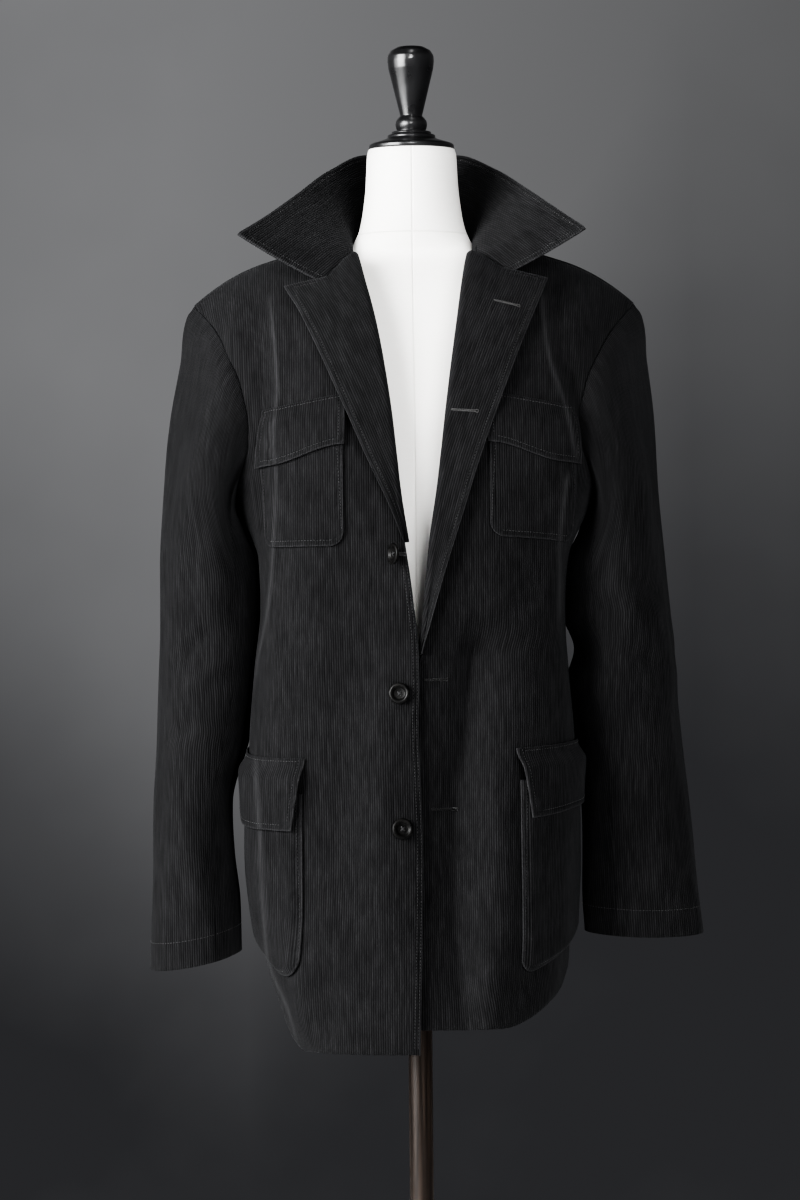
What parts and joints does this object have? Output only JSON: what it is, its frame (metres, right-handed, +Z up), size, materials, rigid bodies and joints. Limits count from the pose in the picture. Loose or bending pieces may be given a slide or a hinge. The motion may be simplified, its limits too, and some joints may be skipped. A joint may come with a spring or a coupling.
{
  "type": "corduroy blazer on a dress form with a stand",
  "caption": "Black corduroy blazer with a turned-up collar, worn open with patch and bellows pockets on a limbless white dress form with a turned knob, a pole and a round base.",
  "frame": {"origin": "centre of the base's underside, on the floor", "axes": "+Z up along the pole, -Y out of the garment's front, +X towards the wearer's left"},
  "size_m": [0.5521, 0.42, 1.5538],
  "materials": {
    "corduroy": "black cotton corduroy, fine upright wales with a soft nap",
    "horn": "polished dark horn look",
    "linen": "smooth tight white linen cover",
    "lacquer": "turned wood in gloss black lacquer",
    "dark_wood": "dark stained wood, satin varnish"
  },
  "bodies": {
    "root": {"front_right": "corduroy", "front_left": "corduroy", "back_right": "corduroy", "back_left": "corduroy", "lapel_right": "corduroy", "lapel_left": "corduroy", "collar": "corduroy", "sleeve_right_top": "corduroy", "sleeve_right_under": "corduroy", "sleeve_left_top": "corduroy", "sleeve_left_under": "corduroy", "chest_pocket_right": "corduroy", "chest_pocket_left": "corduroy", "chest_flap_right": "corduroy", "chest_flap_left": "corduroy", "hip_pocket_right": "corduroy", "hip_pocket_left": "corduroy", "hip_flap_right": "corduroy", "hip_flap_left": "corduroy", "button_upper": "horn", "button_middle": "horn", "button_lower": "horn", "form_torso": "linen", "neck_knob": "lacquer", "stand_pole": "dark_wood", "stand_base": "dark_wood"}
  },
  "joints": []
}
